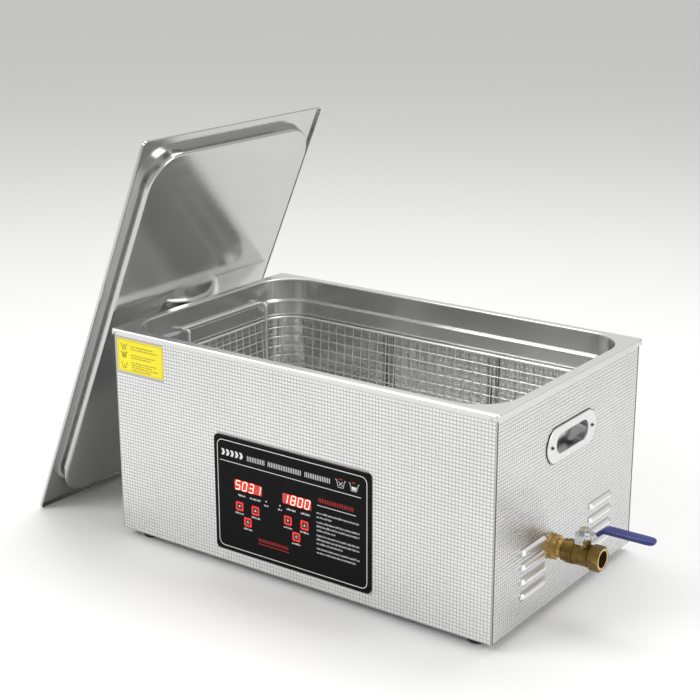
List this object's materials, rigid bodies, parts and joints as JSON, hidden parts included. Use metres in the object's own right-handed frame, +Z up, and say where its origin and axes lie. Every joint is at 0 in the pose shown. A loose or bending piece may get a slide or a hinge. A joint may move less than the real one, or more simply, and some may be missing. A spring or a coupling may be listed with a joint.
{
  "type": "ultrasonic cleaner",
  "caption": "Stainless bench ultrasonic cleaner with a deep rectangular tank, wire basket, loose lid, control panel and side drain valve.",
  "frame": {"origin": "centre of the body's footprint on the plane that the feet stand on", "axes": "+X towards the drain valve, +Y towards the back (the control panel faces -Y), +Z up"},
  "size_m": [0.7898, 0.3286, 0.4924],
  "materials": {
    "casing_steel": "satin",
    "zinc_steel": "satin",
    "foot_rubber": "matte",
    "screw_steel": "satin",
    "tank_steel": "satin",
    "seal_rubber": "matte",
    "heater_silicone": "matte",
    "cast_aluminium": "satin",
    "ceramic": "matte",
    "mass_steel": "satin",
    "panel_black": "gloss",
    "display_red": "gloss",
    "board_green": "satin",
    "switch_black": "matte",
    "label_yellow": "satin",
    "handle_steel": "satin",
    "cup_steel": "polished",
    "plumbing_brass": "satin",
    "valve_brass": "satin",
    "seat_white": "satin",
    "ball_chrome": "polished",
    "lever_steel": "satin",
    "grip_blue": "satin",
    "basket_wire": "polished",
    "lid_steel": "polished",
    "ferrite": "matte",
    "capacitor_sleeve": "satin",
    "fan_black": "satin",
    "moulding_black": "satin",
    "rocker_red": "gloss",
    "wire_sleeve": "satin",
    "key_black": "satin"
  },
  "bodies": {
    "casing": {"base_plate": "zinc_steel", "capacitors": "capacitor_sleeve", "control_board": "board_green", "control_panel": "panel_black", "corner_angles": "zinc_steel", "displays": "display_red", "drain_elbow": "plumbing_brass", "drain_fitting": "plumbing_brass", "drain_nuts": "plumbing_brass", "drain_pipe": "plumbing_brass", "drain_seal": "seal_rubber", "fan_frame": "fan_black", "feet": "foot_rubber", "flange_gasket": "seal_rubber", "foot_screws": "screw_steel", "front_sheet": "casing_steel", "generator_board": "board_green", "gland_nut": "valve_brass", "handle_cups": "cup_steel", "handle_plates": "handle_steel", "handle_screws": "screw_steel", "heat_sink": "cast_aluminium", "heater_pads": "heater_silicone", "inlet_socket": "moulding_black", "left_sheet": "casing_steel", "rear_screws": "screw_steel", "rear_sheet": "casing_steel", "right_sheet": "casing_steel", "switch_frame": "moulding_black", "tact_switches": "switch_black", "tank": "tank_steel", "transducer_back_masses": "mass_steel", "transducer_bolts": "screw_steel", "transducer_ceramics": "ceramic", "transducer_horns": "cast_aluminium", "transformer": "ferrite", "valve_body": "valve_brass", "valve_seats": "seat_white", "warning_label": "label_yellow", "wiring": "wire_sleeve"},
    "grip": {"grip_rod": "lid_steel"},
    "lid": {"lid_pan": "lid_steel", "grip_ears": "lid_steel"},
    "basket": {"basket_mesh": "basket_wire", "basket_rim": "basket_wire", "basket_frames": "basket_wire", "basket_hangers": "basket_wire"},
    "valve_lever": {"lever": "lever_steel", "lever_grip": "grip_blue", "lever_nut": "lever_steel", "valve_stem": "valve_brass", "valve_ball": "ball_chrome"},
    "rocker": {"switch_rocker": "rocker_red"},
    "fan": {"fan_rotor": "fan_black"},
    "key_heat_cap": {"key_heat": "key_black"},
    "key_start_cap": {"key_start": "key_black"},
    "key_temp_down_cap": {"key_temp_down": "key_black"},
    "key_temp_up_cap": {"key_temp_up": "key_black"},
    "key_time_down_cap": {"key_time_down": "key_black"},
    "key_time_up_cap": {"key_time_up": "key_black"}
  },
  "joints": [
    {"name": "lid_carry", "type": "hinge", "parent": "casing", "child": "grip", "pos_m": [-0.14922, 0, 0.25263], "axis": [0, -1, 0], "range_deg": [-180, 0]},
    {"name": "lid_turn", "type": "hinge", "parent": "grip", "child": "lid", "pos_m": [-0.29845, 0, 0.24486], "axis": [0, -1, 0], "range_deg": [0, 113]},
    {"name": "basket_lift", "type": "slide", "parent": "casing", "child": "basket", "axis": [0, 0, 1], "range_m": [0, 0.08]},
    {"name": "valve_turn", "type": "hinge", "parent": "casing", "child": "valve_lever", "pos_m": [0.3, -0.034, 0.077], "axis": [0, 0, -1], "range_deg": [0, 90]},
    {"name": "rocker_tilt", "type": "hinge", "parent": "casing", "child": "rocker", "pos_m": [-0.14, 0.1555, 0.06], "axis": [0, 0, 1], "range_deg": [-16, 0]},
    {"name": "fan_spin", "type": "hinge", "parent": "casing", "child": "fan", "pos_m": [0.15, 0.146, 0.06], "axis": [0, 1, 0], "continuous": true},
    {"name": "press_heat", "type": "slide", "parent": "casing", "child": "key_heat_cap", "axis": [0, 1, 0], "range_m": [0, 0.0006], "stiffness_N_per_m": 400, "springref_m": -0.0005},
    {"name": "press_start", "type": "slide", "parent": "casing", "child": "key_start_cap", "axis": [0, 1, 0], "range_m": [0, 0.0006], "stiffness_N_per_m": 400, "springref_m": -0.0005},
    {"name": "press_temp_down", "type": "slide", "parent": "casing", "child": "key_temp_down_cap", "axis": [0, 1, 0], "range_m": [0, 0.0006], "stiffness_N_per_m": 400, "springref_m": -0.0005},
    {"name": "press_temp_up", "type": "slide", "parent": "casing", "child": "key_temp_up_cap", "axis": [0, 1, 0], "range_m": [0, 0.0006], "stiffness_N_per_m": 400, "springref_m": -0.0005},
    {"name": "press_time_down", "type": "slide", "parent": "casing", "child": "key_time_down_cap", "axis": [0, 1, 0], "range_m": [0, 0.0006], "stiffness_N_per_m": 400, "springref_m": -0.0005},
    {"name": "press_time_up", "type": "slide", "parent": "casing", "child": "key_time_up_cap", "axis": [0, 1, 0], "range_m": [0, 0.0006], "stiffness_N_per_m": 400, "springref_m": -0.0005}
  ],
  "couplings": [
    {"joint": "lid_turn", "follows": "lid_carry", "ratio": -0.62778}
  ]
}
